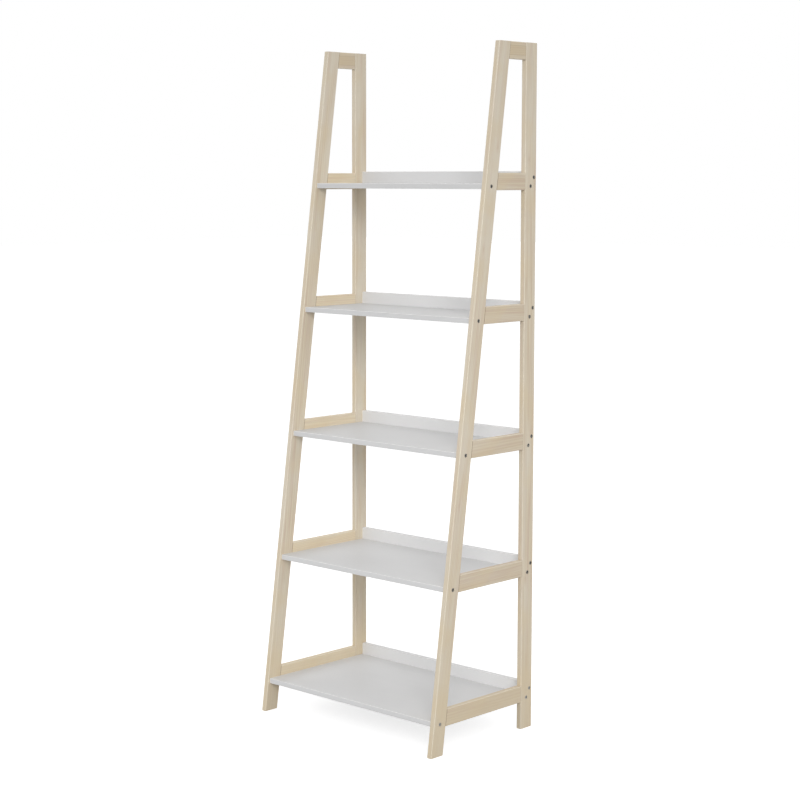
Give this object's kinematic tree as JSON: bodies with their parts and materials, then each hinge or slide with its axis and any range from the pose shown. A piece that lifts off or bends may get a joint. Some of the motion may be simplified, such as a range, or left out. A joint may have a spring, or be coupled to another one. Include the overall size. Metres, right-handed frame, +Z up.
{
  "type": "ladder shelf",
  "caption": "Free-standing ladder shelf: pale wood side frames with leaning front legs carry white shelves that get deeper towards the floor, each with a low back rail.",
  "frame": {"origin": "on the floor under the middle of the footprint", "axes": "+X to the right seen from the front, -Y to the front, +Y to the back, +Z up"},
  "size_m": [0.635, 0.4059, 1.829],
  "materials": {
    "pale_wood": "pale whitewashed softwood, clear matt lacquer, eased edges",
    "white_board": "smooth board painted white, low satin",
    "screw_steel": "zinc-plated steel, dull, with a dark hex socket",
    "dowel_wood": "bare turned beech"
  },
  "bodies": {
    "root": {"left_front_leg": "pale_wood", "left_rear_leg": "pale_wood", "left_top_rail": "pale_wood", "left_side_rail_1": "pale_wood", "left_side_rail_2": "pale_wood", "left_side_rail_3": "pale_wood", "left_side_rail_4": "pale_wood", "left_side_rail_5": "pale_wood", "right_front_leg": "pale_wood", "right_rear_leg": "pale_wood", "right_top_rail": "pale_wood", "right_side_rail_1": "pale_wood", "right_side_rail_2": "pale_wood", "right_side_rail_3": "pale_wood", "right_side_rail_4": "pale_wood", "right_side_rail_5": "pale_wood", "shelf_1": "white_board", "shelf_2": "white_board", "shelf_3": "white_board", "shelf_4": "white_board", "shelf_5": "white_board", "back_rail_1": "white_board", "back_rail_2": "white_board", "back_rail_3": "white_board", "back_rail_4": "white_board", "back_rail_5": "white_board", "left_front_shelf_screws": "screw_steel", "left_rear_shelf_screws": "screw_steel", "left_back_rail_screws": "screw_steel", "right_front_shelf_screws": "screw_steel", "right_rear_shelf_screws": "screw_steel", "right_back_rail_screws": "screw_steel", "left_frame_dowels": "dowel_wood", "right_frame_dowels": "dowel_wood", "back_rail_dowels": "dowel_wood"}
  },
  "joints": []
}
